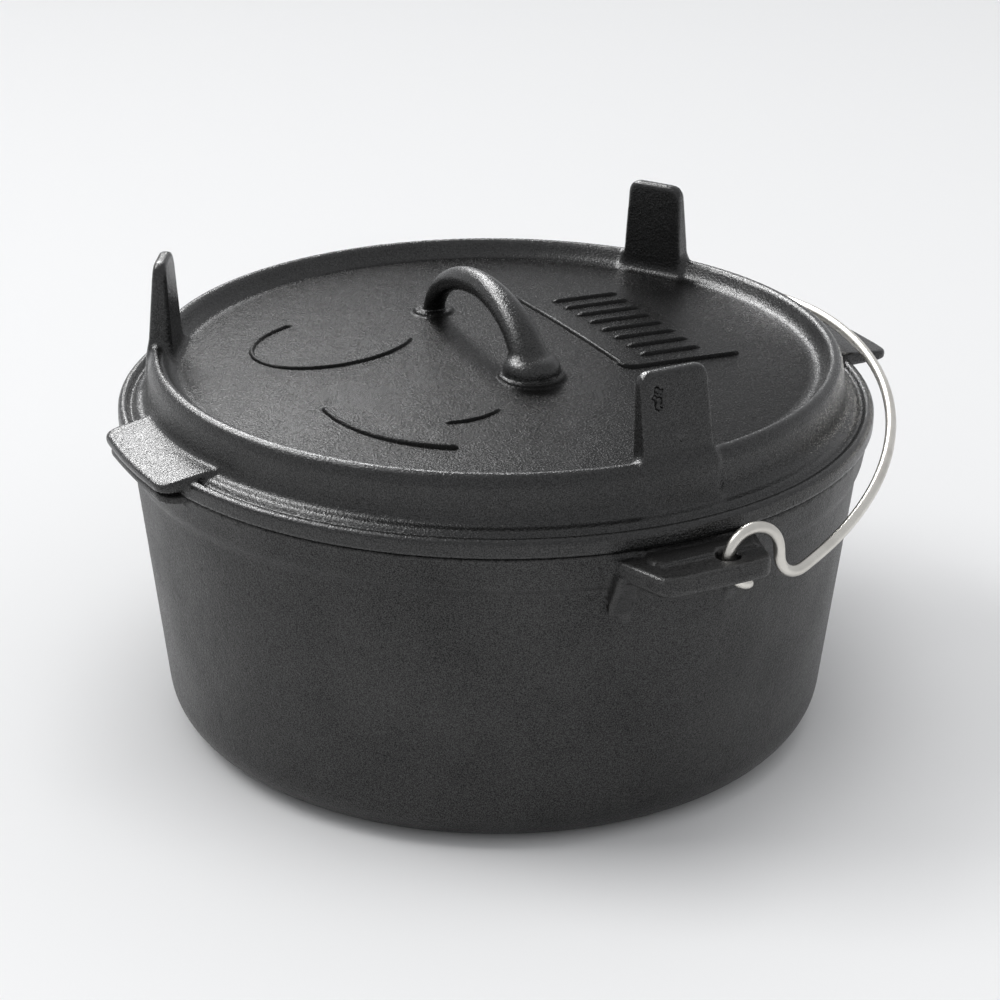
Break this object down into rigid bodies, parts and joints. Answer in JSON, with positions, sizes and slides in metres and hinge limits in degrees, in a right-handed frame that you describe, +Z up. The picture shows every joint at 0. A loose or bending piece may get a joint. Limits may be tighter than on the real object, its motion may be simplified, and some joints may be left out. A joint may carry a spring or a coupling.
{
  "type": "cast iron dutch oven",
  "caption": "Flat-bottomed cast iron dutch oven: round pot with bail ears, a flanged lid with a ridge, feet and a loop handle, and a swinging wire bail.",
  "frame": {"origin": "centre of the pot's flat base", "axes": "+Z up; Y runs through the two bail ears, parallel to the bail's pivot; X runs through the lid's two grip tabs, and the bail rests towards +X"},
  "size_m": [0.308, 0.322, 0.176],
  "materials": {
    "pot_iron": "seasoned black, fine as-cast grain",
    "lid_iron": "seasoned black, coarse as-cast grain",
    "bail_steel": "bright drawn wire, unpainted"
  },
  "bodies": {
    "pot": {"pot": "pot_iron"},
    "lid": {"lid": "lid_iron"},
    "bail": {"bail": "bail_steel"}
  },
  "joints": [
    {"name": "lid_lift", "type": "slide", "parent": "pot", "child": "lid", "axis": [0, 0, 1], "range_m": [0, 0.15]},
    {"name": "bail_swing", "type": "hinge", "parent": "pot", "child": "bail", "pos_m": [0.0184, 0, 0.1154], "axis": [0, -1, 0], "range_deg": [0, 150]}
  ]
}
